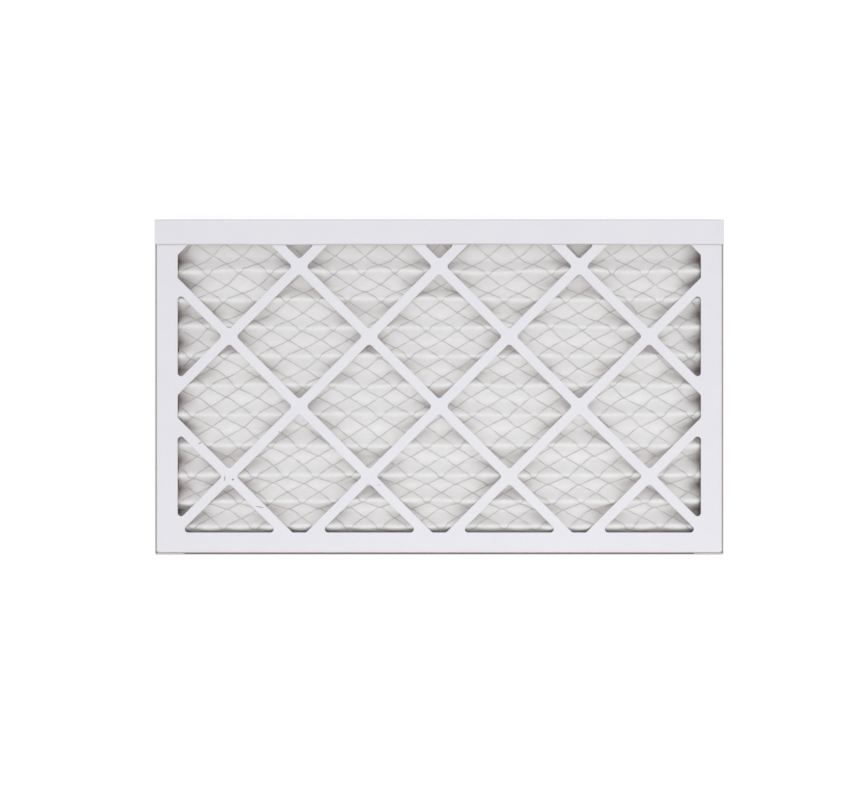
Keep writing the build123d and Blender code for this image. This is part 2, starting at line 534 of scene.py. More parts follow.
@dataclass(frozen=True)
class BoardFinish(Finish):
    """Clay-coated white board with a grey-brown liner inside and a grey cut edge. Its folds and the
    flap's free edge carry painted shade.
    """

    name: str = "coated_board"
    coat: Colour = (0.795, 0.788, 0.826, 1.0)
    coat_shade: Colour = (0.752, 0.746, 0.785, 1.0)
    # Painted shade along the folds, partly fold wear: a darker grey for the rounded fold faces.
    fold_shade: Colour = (0.42, 0.39, 0.385, 1.0)
    edge: Colour = (0.61, 0.56, 0.545, 1.0)
    liner: Colour = (0.58, 0.48, 0.445, 1.0)
    liner_shade: Colour = (0.49, 0.395, 0.365, 1.0)
    mark: Colour = (0.13, 0.115, 0.105, 1.0)
    mark_z: float = 18.35
    mark_depth: float = 3.0
    scuffs: tuple[Scuff, ...] = (
        Scuff(-208.5, -48.8, 1.6, 0.7, 35.0, 0.7),
        Scuff(-186.9, -79.6, 3.0, 0.5, 80.0, 0.8),
        Scuff(-179.8, -80.6, 1.1, 0.9, 0.0, 0.9),
        Scuff(-156.2, -104.5, 4.8, 0.45, -11.0, 0.75),
        Scuff(-139.6, -39.2, 0.8, 0.6, 20.0, 0.8),
        Scuff(-52.5, -85.4, 1.0, 0.6, 0.0, 0.6),
    )

    def marks(self, nodes: NodeTree, point: bpy.types.NodeSocket) -> bpy.types.NodeSocket:
        """Adds the scuffs of the front lattice.

        Args:
            nodes: The material's tree.
            point: The piece's own coordinates.

        Returns:
            One mask, which is the highest of the scuffs' masks times their strengths.
        """
        group = mark_group()
        total: object = 0.0
        for scuff in self.scuffs:
            half_sizes = (scuff.half_length, scuff.half_width, self.mark_depth)
            place = {
                "Vector": point,
                "Centre": Vector((scuff.x, scuff.y, self.mark_z)) * MM,
                "Turn": (0.0, 0.0, math.radians(scuff.turn)),
                "Reach": Vector(half_sizes) * MM,
            }
            mark = nodes.add("ShaderNodeGroup", place, node_tree=group)
            seen = nodes.maths("MULTIPLY", mark.outputs["Mask"], scuff.strength)
            total = nodes.maths("MAXIMUM", seen, total)
        return total

    def look(self, nodes: NodeTree) -> dict:
        """Adds the board's nodes, which read the faces' side attribute."""
        point = object_point(nodes)
        side = nodes.add("ShaderNodeAttribute", attribute_name="side").outputs["Fac"]
        sheet = nodes.grained(point, 38.0, 900.0, 0.10)
        blotch = nodes.scaled(sheet["Blotch"], 0.35, 0.7, 0.0, 1.0)
        coat = nodes.tinted(blotch, self.coat, self.coat_shade)
        liner = nodes.tinted(blotch, self.liner, self.liner_shade)
        # Painted shade on the fold arcs, in noisy patches, partly fold wear.
        is_creased = nodes.maths("COMPARE", side, Side.CREASED.value, 0.05)
        fold_shade_patches = nodes.scaled(sheet["Height"], 0.35, 0.65, 0.15, 0.6)
        is_edge = nodes.maths("GREATER_THAN", side, 0.25)
        is_liner = nodes.maths("GREATER_THAN", side, 0.75)
        marked = nodes.tinted(self.marks(nodes, point), coat, self.mark)
        creased = nodes.tinted(nodes.maths("MULTIPLY", is_creased, fold_shade_patches), marked, self.fold_shade)
        base = nodes.tinted(is_liner, nodes.tinted(is_edge, creased, self.edge), liner)
        rough = nodes.scaled(sheet["Height"], 0.3, 0.7, 0.5, 0.62)
        return {
            "Base Color": nodes.toned(base, sheet["Tone"]),
            "Roughness": nodes.maths("MULTIPLY_ADD", is_edge, 0.3, rough),
            "Normal": nodes.bumped(sheet["Height"], 0.12, 0.0002),
            "Specular IOR Level": 0.35,
        }


@dataclass(frozen=True)
class MediaFinish(Finish):
    """Off-white nonwoven web of fine crimped fibres."""

    name: str = "nonwoven_web"
    light: Colour = (0.885, 0.873, 0.868, 1.0)
    dense: Colour = (0.815, 0.80, 0.795, 1.0)
    # Painted light: the lighter web colour laid into the valleys to lift their shade.
    valley_light: Colour = (0.94, 0.927, 0.922, 1.0)
    # Painted shade: a dark brown-grey laid on the web where a valley nears either end, in the deep
    # corner by the wall.
    end_shade: Colour = (0.46, 0.385, 0.37, 1.0)
    end_shade_from: float = 0.213
    end_shade_to: float = 0.233

    def look(self, nodes: NodeTree) -> dict:
        """Adds the web's nodes, which follow the sheet's own flat coordinates.

        The valleys carry painted light, a lighter web colour, and painted shade, a dark brown-grey,
        where a valley nears either end.
        """
        point = nodes.add("ShaderNodeUVMap", uv_map="flat").outputs["UV"]
        web = nodes.grained(point, 120.0, 1600.0, 0.10)
        fibres = nodes.noise(point, 420.0, 6.0, 0.7, 2.2)
        strand = nodes.scaled(fibres, 0.38, 0.66, 0.0, 1.0)
        across = nodes.add("ShaderNodeSeparateXYZ", {0: point}).outputs["X"]
        from_middle = nodes.maths("ABSOLUTE", across)
        near_end = nodes.scaled(from_middle, self.end_shade_from, self.end_shade_to, 0.0, 1.0)
        valley = nodes.add("ShaderNodeAttribute", attribute_name="valley").outputs["Fac"]
        colour = nodes.tinted(strand, self.dense, self.light)
        # Painted light: the web turns towards the lighter colour in the valleys.
        colour = nodes.tinted(nodes.maths("MULTIPLY", valley, 0.75), colour, self.valley_light)
        # Painted shade: strongest where a valley comes near either end of the sheet, and patchy.
        end_shaded = nodes.maths("MULTIPLY", nodes.maths("MULTIPLY", near_end, near_end), valley)
        uneven = nodes.scaled(web["Blotch"], 0.3, 0.7, 0.75, 1.15)
        colour = nodes.tinted(nodes.maths("MULTIPLY", end_shaded, uneven), colour, self.end_shade)
        return {
            "Base Color": nodes.toned(colour, web["Tone"]),
            "Normal": nodes.bumped(nodes.maths("ADD", fibres, web["Height"]), 0.35, 0.0004),
            "Roughness": 0.95,
            "Specular IOR Level": 0.15,
            "Subsurface Weight": 0.25,
            "Subsurface Radius": (1.0, 1.0, 1.0),
            "Subsurface Scale": 0.004,
            "Sheen Weight": 0.15,
            "Sheen Roughness": 0.6,
        }


@dataclass(frozen=True)
class WireFinish(Finish):
    """Galvanised steel strands, dull and slightly spangled."""

    name: str = "galvanised_strand"
    bright: Colour = (0.74, 0.735, 0.73, 1.0)
    dull: Colour = (0.58, 0.57, 0.565, 1.0)

    def look(self, nodes: NodeTree) -> dict:
        """Adds the strands' nodes."""
        steel = nodes.grained(object_point(nodes), 160.0, 2400.0, 0.25)
        blotch = nodes.scaled(steel["Blotch"], 0.35, 0.65, 0.0, 1.0)
        return {
            "Base Color": nodes.tinted(blotch, self.dull, self.bright),
            "Roughness": nodes.scaled(steel["Height"], 0.3, 0.7, 0.4, 0.6),
            "Metallic": 0.3,
        }


@dataclass(frozen=True)
class AdhesiveFinish(Finish):
    """Cloudy grey-brown hot-melt."""

    name: str = "hot_melt"
    thin: Colour = (0.72, 0.63, 0.60, 1.0)
    thick: Colour = (0.58, 0.49, 0.46, 1.0)

    def look(self, nodes: NodeTree) -> dict:
        """Adds the adhesive's nodes."""
        glue = nodes.grained(object_point(nodes), 90.0, 500.0, 0.2)
        blotch = nodes.scaled(glue["Blotch"], 0.35, 0.65, 0.0, 1.0)
        return {
            "Base Color": nodes.tinted(blotch, self.thin, self.thick),
            "Roughness": nodes.scaled(glue["Height"], 0.3, 0.7, 0.25, 0.45),
            "Normal": nodes.bumped(glue["Height"], 0.3, 0.0005),
            "Subsurface Weight": 0.2,
            "Subsurface Scale": 0.002,
        }


@dataclass(frozen=True)
class FloorFinish(Finish):
    """Matt pale paper that the camera sees a little lighter than it lights the filter."""

    name: str = "floor_paper"
    colour: Colour = (0.96, 0.96, 0.96, 1.0)
    glow: Colour = (1.0, 1.0, 1.0, 1.0)
    lift: float = 0.16

    def look(self, nodes: NodeTree) -> dict:
        """Adds the floor's nodes."""
        return {
            "Base Color": self.colour,
            "Roughness": 1.0,
            "Specular IOR Level": 0.0,
            "Emission Color": self.glow,
            "Emission Strength": nodes.maths("MULTIPLY", nodes.seen_directly(), self.lift),
        }


# ------------------------------------------------------------------------------ the lattice
@dataclass(frozen=True)
class Lattice:
    """The windows that diagonal strips leave in a face of board."""

    length: float = 456.0
    width: float = 253.6
    strip: float = 8.5
    pitch: float = 122.0
    shift_y: float = -16.8
    corner_radius: float = 3.0
    corner_samples: int = 48

    def windows(self) -> np.ndarray:
        """Works out every window's outline.

        A window is a diamond between four strips, cut off by the border. Its straight outline
        is first pulled in by the corner radius: the corners are the crossings of its eight
        side lines that lie within all eight. For each of a round of directions, the outline's
        point is the corner that lies furthest that way, plus the radius in that direction.

        Returns:
            Outlines as windows x samples x 2, counter-clockwise.
        """
        half = self.pitch / 2
        columns, rows = np.meshgrid(np.arange(-5, 6), np.arange(-4, 5))
        is_window = (columns + rows) % 2 == 1
        columns, rows = columns[is_window], rows[is_window]
        centres = np.stack([columns * half, self.shift_y + rows * half], axis=1)
        slant = math.sqrt(0.5)
        diagonal = slant * np.array([[-1, -1], [-1, 1], [1, -1], [1, 1]])
        normals = np.concatenate([[[1, 0], [-1, 0], [0, 1], [0, -1]], diagonal])
        strip_reach = centres @ diagonal.T + half * slant - self.strip / 2
        border_reach = np.array([self.length, self.length, self.width, self.width]) / 2
        border_reach = np.broadcast_to(border_reach, (len(centres), 4))
        pulled_in = np.concatenate([border_reach, strip_reach], axis=1) - self.corner_radius
        first, second = np.triu_indices(len(normals), 1)
        (ax, ay), (bx, by) = normals[first].T, normals[second].T
        crossing = ax * by - ay * bx
        with np.errstate(divide="ignore", invalid="ignore"):
            reach_a, reach_b = pulled_in[:, first] / crossing, pulled_in[:, second] / crossing
            corners = np.stack([reach_a * by - reach_b * ay, reach_b * ax - reach_a * bx], axis=-1)
        corners = corners[:, np.abs(crossing) > TINY]
        slack = pulled_in[:, None, :] - corners @ normals.T
        inside = (slack > -TINY).all(axis=-1)
        open_windows = inside.sum(axis=1) >= 3
        corners, inside = corners[open_windows], inside[open_windows]
        angle = (np.arange(self.corner_samples) + 0.5) * 2 * np.pi / self.corner_samples
        heading = np.stack([np.cos(angle), np.sin(angle)], axis=1)
        distance = np.where(inside[..., None], corners @ heading.T, -np.inf)
        furthest = distance.argmax(axis=1)
        picked = np.take_along_axis(corners, furthest[..., None], axis=1)
        return picked + self.corner_radius * heading

    def plate(
        self,
        half_length: float,
        half_width: float,
        z_low: float,
        z_top: float,
        top_side: Side,
        low_side: Side,
    ) -> Skin:
        """Builds the flat face of a tray with its windows.

        Both faces are the same triangles, worked out once in the plane. A wall of squares joins
        each outline on the top face to the same outline on the low face.

        Args:
            half_length: Half the plate's length.
            half_width: Half its width.
            z_low: The height of its low face.
            z_top: The height of its top face.
            top_side: What the top face shows.
            low_side: What the low face shows.

        Returns:
            The closed plate.
        """
        border = np.array([[-1, -1], [1, -1], [1, 1], [-1, 1]]) * (half_length, half_width)
        outlines = self.windows()
        flat = np.concatenate([border, outlines.reshape(-1, 2)])
        loops = [border] + list(outlines)
        raised = [[Vector((x, y, 0)) for x, y in loop] for loop in loops]
        triangles = np.array(tessellate_polygon(raised))
        corner = flat[triangles]
        edge_a, edge_b = corner[:, 1] - corner[:, 0], corner[:, 2] - corner[:, 0]
        area = edge_a[:, 0] * edge_b[:, 1] - edge_a[:, 1] * edge_b[:, 0]
        triangles[area < 0] = triangles[area < 0][:, ::-1]
        count = len(flat)
        outer = np.arange(4)[None, :]
        ids = 4 + np.arange(outlines.shape[0] * outlines.shape[1]).reshape(outlines.shape[:2])
        rims = ((np.roll(ids, -1, axis=1), ids), (outer, np.roll(outer, -1, axis=1)))
        walls = [
            np.stack([here, after, after + count, here + count], axis=-1).reshape(-1, 4)
            for here, after in rims
        ]
        layers = [np.column_stack([flat, np.full(count, z)]) for z in (z_low, z_top)]
        return shell(
            np.concatenate(layers),
            (triangles + count, top_side),
            (triangles[:, ::-1], low_side),
            (np.concatenate(walls), Side.CUT_EDGE),
        )


# ------------------------------------------------------------------------------ the trays
@dataclass
class Tray:
    """One folded board tray: sizes shared by the outer and the inner tray."""

    lattice: Lattice = field(default_factory=Lattice)
    length: float = 495.3
    width: float = 292.1
    depth: float = 19.05
    board: float = 0.7
    fold_radius: float = 1.0
    fold_lead: float = 0.5
    nest_gap: float = 0.8
    side_gap: float = 0.15
    fold_steps: int = 6

    @property
    def front_top(self) -> float:
        """The height of the inner tray's front face."""
        return self.depth - self.board

    @property
    def margin(self) -> float:
        """How far the flat face stops short of the wall's outside, to leave room for the fold."""
        return self.fold_radius + self.fold_lead

    def bent(
        self, corners: list[tuple[float, float]], spread: list[float]
    ) -> tuple[np.ndarray, np.ndarray]:
        """Rounds a section's middle line, with the board's fold radius on its outside."""
        radius = self.fold_radius - self.board / 2
        corner_points = np.array(corners, dtype=float)
        return rounded_path(corner_points, radius, self.fold_steps, np.array(spread))

    def strip(
        self, run: Run, section: tuple[np.ndarray, np.ndarray], along: np.ndarray, left: Side
    ) -> Skin:
        """Closes a strip of board whose faces lie half its thickness to each side of a path.

        Args:
            run: The axis that the strip runs along.
            section: The path's points and normals.
            along: Distances along the run, as path points x stations.
            left: What the face to the left of the path shows.

        Returns:
            The closed strip.
        """
        path, normal = section
        left_face, right_face = (
            placed(run, np.broadcast_to(face[:, None], (*along.shape, 2)), along)
            for face in (path + normal * self.board / 2, path - normal * self.board / 2)
        )
        right = Side.LINER if left is Side.COATED else Side.COATED
        return sheet_skin(left_face, right_face, left, right)

    def fold(
        self,
        run: Run,
        corners: list[tuple[float, float]],
        half_run: HalfRun,
        left: Side,
        stations: int = 2,
        worn_shaded_end: float = 0.0,
    ) -> Skin:
        """Folds a strip of board, whose stations run from minus half_run to plus half_run.

        Args:
            run: The axis that the strip runs along.
            corners: The section's middle line.
            half_run: Half the strip's length, or a function that gives it for the path's points.
            left: What the face to the left of the path shows.
            stations: How many stations there are along the run.
            worn_shaded_end: The share of the last leg painted in the cut edge's grey at the free
                edge: rubbed coat and a painted shadow line.

        Returns:
            The closed strip.
        """
        path, normal = self.bent(corners, [0.0, 1 - worn_shaded_end, 1.0] if worn_shaded_end else [0.0, 1.0])
        reach = half_run(path) if callable(half_run) else np.full(len(path), half_run)
        along = reach[:, None] * np.linspace(-1, 1, stations)[None, :]
        skin = self.strip(run, (path, normal), along, left)
        bent = np.linalg.norm(np.diff(normal, axis=0), axis=1) > TINY
        creased = np.repeat(bent, stations - 1)
        for side in skin.sides[:2]:
            side[creased & (side == Side.COATED.value)] = Side.CREASED.value
            # Painted shadow line, partly rubbed coat: the last faces at the free edge take the cut
            # edge's grey.
            if worn_shaded_end:
                side[-(stations - 1) :] = Side.CUT_EDGE.value
        return skin


@dataclass
class OuterTray(Tray):
    """The outer tray: rear lattice, four walls, glue tabs and the closing flap."""

    flap_width: float = 22.0
    flap_stations: int = 160
    flap_hold: float = 2.0
    # The share of the flap's last leg that carries a painted shadow line and rubbed coat at its
    # free edge.
    edge_wear_and_shadow: float = 0.03
    edge_waves: tuple[tuple[float, float, float], ...] = ((0.22, 61.0, 0.7), (0.12, 17.0, 0.0))
    tab_length: float = 25.0
    tab_clearance: float = 0.05
    bend_margin: float = 0.05
    fold_lap: float = 0.3

    def side_wall(self, side: int) -> list[Skin]:
        """Builds a side wall with its tabs, and the fold that joins it to the rear face.

        Args:
            side: -1 for the left wall, 1 for the right one.

        Returns:
            The shells.
        """
        wall_x = side * (self.length - self.board) / 2
        tab_x = wall_x - side * self.tab_length
        tab_y = (self.width - self.board) / 2 - self.board - self.tab_clearance
        face = self.board / 2
        lead = side * (self.length / 2 - self.margin)
        low = self.fold_radius
        left = Side.LINER if side > 0 else Side.COATED
        corners = [(lead, face), (wall_x, face), (wall_x, low + self.fold_lap)]
        fold = self.fold(Run.Y, corners, self.width / 2 - self.board - low, left)
        outline = [(tab_x, -tab_y), (wall_x, -tab_y), (wall_x, tab_y), (tab_x, tab_y)]
        section = self.bent(outline, [0.0, 1.0])
        heights = np.broadcast_to([low, self.front_top], (len(section[0]), 2))
        return [fold, self.strip(Run.Z, section, heights, left)]

    def long_wall(self, side: int) -> Skin:
        """Builds the bottom wall, or the top wall with the closing flap.

        The wall runs on to the outer corners above the fold. The flap's free edge wanders
        between its glued ends by the sum of two sine waves of X, each with its size, length
        and start.

        Args:
            side: -1 for the bottom wall, 1 for the top one.

        Returns:
            The closed strip.
        """
        wall_y = (self.width - self.board) / 2
        face = self.board / 2
        lead = self.width / 2 - self.margin
        corners = [(side * lead, face), (side * wall_y, face), (side * wall_y, self.front_top)]
        if side > 0:
            flap_z = self.depth - self.board / 2
            corners[-1] = (wall_y, flap_z)
            corners.append((self.width / 2 - self.flap_width, flap_z))
        short, full = self.length / 2 - self.fold_radius, self.length / 2

        def half_run(path: np.ndarray) -> np.ndarray:
            """The strip's half length: short in the rear fold, full from its end upwards."""
            return np.where(path[:, 1] < self.fold_radius - self.bend_margin, short, full)

        if side < 0:
            return self.fold(Run.X, corners, half_run, Side.COATED, self.flap_stations)
        # The flap's free edge gets a painted shadow line, partly rubbed coat, in the cut edge's
        # grey.
        skin = self.fold(Run.X, corners, half_run, Side.LINER, self.flap_stations, self.edge_wear_and_shadow)
        x, y, z = skin.points.T.copy()
        free = self.flap_width - self.flap_hold
        share = np.clip((self.width / 2 - self.flap_hold - y) / free, 0, 1)
        waves = sum(size * np.sin(x / length + start) for size, length, start in self.edge_waves)
        y += share * (z > self.front_top - self.fold_radius) * waves
        skin.points = np.stack([x, y, z], axis=1)
        return skin

    def skin(self) -> Skin:
        """Builds the whole outer tray."""
        half_x, half_y = self.length / 2 - self.margin, self.width / 2 - self.margin
        plate = self.lattice.plate(half_x, half_y, 0.0, self.board, Side.LINER, Side.COATED)
        shells = [plate, self.long_wall(-1), self.long_wall(1)]
        return joined(shells + self.side_wall(-1) + self.side_wall(1))


@dataclass
class InnerTray(Tray):
    """The inner tray: front lattice and four plain walls."""

    def skin(self) -> Skin:
        """Builds the whole inner tray."""
        half_x = self.length / 2 - self.board - self.side_gap
        half_y = self.width / 2 - self.board - self.nest_gap
        low, top, margin = self.front_top - self.board, self.front_top, self.margin
        face = (low + top) / 2
        sides = (Side.COATED, Side.LINER)
        plate = self.lattice.plate(half_x - margin, half_y - margin, low, top, *sides)
        shells = [plate]
        for side in (-1, 1):
            left = Side.COATED if side > 0 else Side.LINER
            for run, half, other in ((Run.Y, half_x, half_y), (Run.X, half_y, half_x)):
                lead, wall = side * (half - margin), side * (half - self.board / 2)
                corners = [(lead, face), (wall, face), (wall, self.board)]
                shells.append(self.fold(run, corners, other - self.fold_radius, left))
        return joined(shells)


# ---------------------------------------------------------------------- the pleated sheet
@dataclass
class PleatedMedia:
    """The pleated web, and the flat coordinates that its wire mesh shares.

    A point of the sheet is given by x across it and s along the fold line, from the end at
    the flap to the end at the bottom wall.
    """

    thickness: float = 1.2
    crest_radius: float = 1.2
    valley_radius: float = 3.4
    length: float = 458.0
    first_crest_y: float = 125.1
    first_crest_lean: float = 4.5
    pitches: tuple[float, ...] = (23.7, 24.5, 24.5, 25.0, 25.7, 25.7, 27.0, 25.9, 22.8, 22.0)
    leg: float = 18.6
    end_reach: float = 4.9
    bottom_reach: float = 16.0
    end_spread: float = 5.0
    crest_z: float = 15.95
    foot_z: float = 1.9
    columns: int = 192
    leg_samples: int = 7
    fold_samples: int = 5
    mesh_pitch: float = 27.3
    row_height: float = 12.4
    row_start: float = 2.6
    node_x: float = -188.95
    crest_swell: float = 1.25
    flank_swell: float = 0.35
    most_swell: float = 1.05
    pillow_reach: float = 4.2
    crest_reach: float = 5.0
    valley_reach: float = 9.0
    # How far from a valley line the painted valley light, and the painted shade at the valleys'
    # ends, reach.
    painted_valley_reach: float = 8.0
    ragged_end: float = 0.4
    slack: float = 0.5
    slack_length: float = 40.0
    wrinkle: float = 0.25
    wrinkle_length: float = 22.0
    stray: tuple[float, float] = (1.2, 1.0)
    stray_length: tuple[float, float] = (48.0, 42.0)
    sway_waves: tuple[tuple[float, float], ...] = ((310.0, 0.45), (140.0, 0.3), (62.0, 0.2))
    seed: int = 7

    def __post_init__(self) -> None:
        """Works out the fold line and the sheet's small random movements."""
        crest_y = self.first_crest_y - np.concatenate([[0], np.cumsum(self.pitches)])
        pitches = np.array(self.pitches)
        drop = np.sqrt(self.leg**2 - (pitches / 2) ** 2)
        valley = np.stack([crest_y[:-1] - pitches / 2, self.crest_z - drop], axis=1)
        crest_y[0] += self.first_crest_lean
        crest = np.stack([crest_y, np.full(len(crest_y), self.crest_z)], axis=1)
        folds = np.empty((len(crest) + len(valley), 2))
        folds[0::2], folds[1::2] = crest, valley
        top_end = (crest_y[0] + self.end_reach, self.foot_z)
        bottom_end = (crest_y[-1] - self.bottom_reach, self.foot_z)
        corners = np.concatenate([[top_end], folds, [bottom_end]])
        spread = np.linspace(0, 1, self.leg_samples)
        radii = np.where(np.arange(len(folds)) % 2 == 0, self.crest_radius, self.valley_radius)
        self.path, normal = rounded_path(corners, radii, self.fold_samples, spread)
        self.normal = normal * np.sign((normal @ (0, 1)).mean())
        step = np.linalg.norm(np.diff(self.path, axis=0), axis=1)
        self.path_s = np.concatenate([[0], np.cumsum(step)])
        corner_at = ((self.path[None] - corners[:, None]) ** 2).sum(axis=2).argmin(axis=1)
        self.fold_s = self.path_s[corner_at]
        self.crest_s = self.fold_s[1:-1:2]
        self.valley_s = self.fold_s[2:-1:2]
        rng = np.random.default_rng(self.seed)
        self.waves = rng.normal(0, 1, (2, 3, len(corners)))
        self.noise_seed = int(rng.integers(1 << 30))

    def nearness(self, s: np.ndarray, lines: np.ndarray, reach: float) -> np.ndarray:
        """How near s is to a fold line: one on the line, falling as a bell curve with reach."""
        gap = np.abs(s[..., None] - lines).min(axis=-1)
        return np.exp(-((gap / reach) ** 2))

    def unevenness(self, x: np.ndarray, s: np.ndarray, part: int, length: float) -> np.ndarray:
        """One of the sheet's fixed noise fields, numbered by part."""
        return gentle_noise(np.random.default_rng(self.noise_seed + part), x, s, length)

    def row_lines(self) -> tuple[np.ndarray, np.ndarray]:
        """Places on the fold line whose strand rows are known, and the numbers of those rows.

        A row lies row_start past each crest. There are three rows to each pleat.
        """
        anchors = self.crest_s + self.row_start
        margin = ROWS_PER_PLEAT * self.row_height
        places = np.concatenate([[anchors[0] - margin], anchors, [anchors[-1] + margin]])
        return places, float(ROWS_PER_PLEAT) * np.arange(-1, len(anchors) + 1)

    def mesh_shift(self, x: np.ndarray, s: np.ndarray) -> tuple[np.ndarray, np.ndarray]:
        """How far the stretched mesh strays from even, across and along the sheet."""
        across = self.unevenness(x, s, 5, self.stray_length[0])
        along = self.unevenness(x, s, 6, self.stray_length[1])
        return self.stray[0] * across, self.stray[1] * along

    def strand_gap(self, x: np.ndarray, s: np.ndarray) -> np.ndarray:
        """The distance from a point of the sheet to the nearest strand of the wire mesh.

        Strands run from each node of a row to the two nodes half a pitch to either side in
        the next row. With v the share of the way from row to row, and a the distance to the
        nearest node of the upper row in pitches, the gap across is a less half of v.
        """
        shift_x, shift_s = self.mesh_shift(x, s)
        row = np.interp(s - shift_s, *self.row_lines())
        share = row - np.floor(row)
        across = (x - shift_x - self.node_x) / self.mesh_pitch - np.floor(row) / 2
        across = np.abs(across - np.round(across))
        slope = self.row_height / math.hypot(self.row_height, self.mesh_pitch / 2)
        return np.abs(across - share / 2) * self.mesh_pitch * slope

    def swell(self, x: np.ndarray, s: np.ndarray) -> np.ndarray:
        """How far the web stands forward between the strands, and clear of the lattice at most."""
        held = 1 - np.exp(-((self.strand_gap(x, s) / self.pillow_reach) ** 2))
        at_crest = self.nearness(s, self.crest_s, self.crest_reach)
        height = self.flank_swell + (self.crest_swell - self.flank_swell) * at_crest
        loose = 1 + self.slack * self.unevenness(x, s, 1, self.slack_length)
        wrinkles = self.wrinkle * self.unevenness(x, s, 2, self.wrinkle_length)
        return np.minimum(held * height * loose + wrinkles, self.most_swell)

    def sway(self, x: np.ndarray, s: np.ndarray) -> np.ndarray:
        """How far the fold lines wander in Y: three waves along X, of an own size in each fold."""
        total = 0.0
        for sine, cosine, (wavelength, size) in zip(*self.waves, self.sway_waves):
            phase = 2 * np.pi * x / wavelength
            sine_size, cosine_size = (np.interp(s, self.fold_s, part) for part in (sine, cosine))
            total = total + size * (sine_size * np.sin(phase) + cosine_size * np.cos(phase))
        return total

    def surface(
        self, x: np.ndarray, s: np.ndarray, lift: float | np.ndarray
    ) -> tuple[np.ndarray, np.ndarray]:
        """Points of the sheet.

        The fold line gives y, z and the normal at s. The swell and the lift move the point
        along the normal, and the sway moves it in Y.

        Args:
            x: Positions across the sheet.
            s: Positions along the fold line, in the same shape.
            lift: Distance in front of the middle surface.

        Returns:
            Points and unit normals, both as ... x 3.
        """
        y, z = (np.interp(s, self.path_s, values) for values in self.path.T)
        normal_y, normal_z = (np.interp(s, self.path_s, values) for values in self.normal.T)
        size = np.hypot(normal_y, normal_z)
        normal_y, normal_z = normal_y / size, normal_z / size
        offset = lift + self.swell(x, s)
        y = y + normal_y * offset + self.sway(x, s)
        point = np.stack([x, y, z + normal_z * offset], axis=-1)
        return point, np.stack([np.zeros_like(x), normal_y, normal_z], axis=-1)

    def skin(self) -> tuple[Skin, np.ndarray]:
        """Builds the web as a closed sheet.

        The ends of the folds spread a few millimetres towards the walls in the valleys, so each
        row of the grid runs between its own two ends.

        Returns:
            The shell, and the flat coordinates of its points in metres.
        """
        s = np.repeat(self.path_s[:, None], self.columns, axis=1)
        share = np.linspace(0, 1, self.columns)[None, :]
        in_valley = self.nearness(self.path_s, self.valley_s, self.valley_reach)[:, None]
        ragged = self.ragged_end * np.sin(self.path_s / 2)[:, None]
        left = -self.length / 2 - (self.end_spread + ragged) * in_valley
        right = self.length / 2 + (self.end_spread + ragged) * in_valley
        x = left + (right - left) * share
        front, _ = self.surface(x, s, self.thickness / 2)
        back, _ = self.surface(x, s, -self.thickness / 2)
        flat = np.stack([x, s], axis=-1).reshape(-1, 2) * MM
        return sheet_skin(front, back, Side.COATED, Side.COATED), np.concatenate([flat, flat])

    def build(self, finish: bpy.types.Material) -> bpy.types.Object:
        """Args:
            finish: The web's material.

        Returns:
            The piece.
        """
        skin, flat = self.skin()
        piece = make_piece("pleats", skin, finish, 60.0)
        mesh = piece.data
        layer = mesh.uv_layers.new(name="flat")
        corners = np.empty(len(mesh.loops), dtype=np.int32)
        mesh.loops.foreach_get("vertex_index", corners)
        layer.data.foreach_set("uv", flat[corners].astype(np.float32).ravel())
        # The valley attribute places the painted light in the valleys and the painted shade at
        # their ends.
        depth = mesh.attributes.new("valley", "FLOAT", "POINT")
        in_valley = self.nearness(flat[:, 1] / MM, self.valley_s, self.painted_valley_reach)
        depth.data.foreach_set("value", in_valley.astype(np.float32))
        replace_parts(piece, "pleated_media")
        return piece


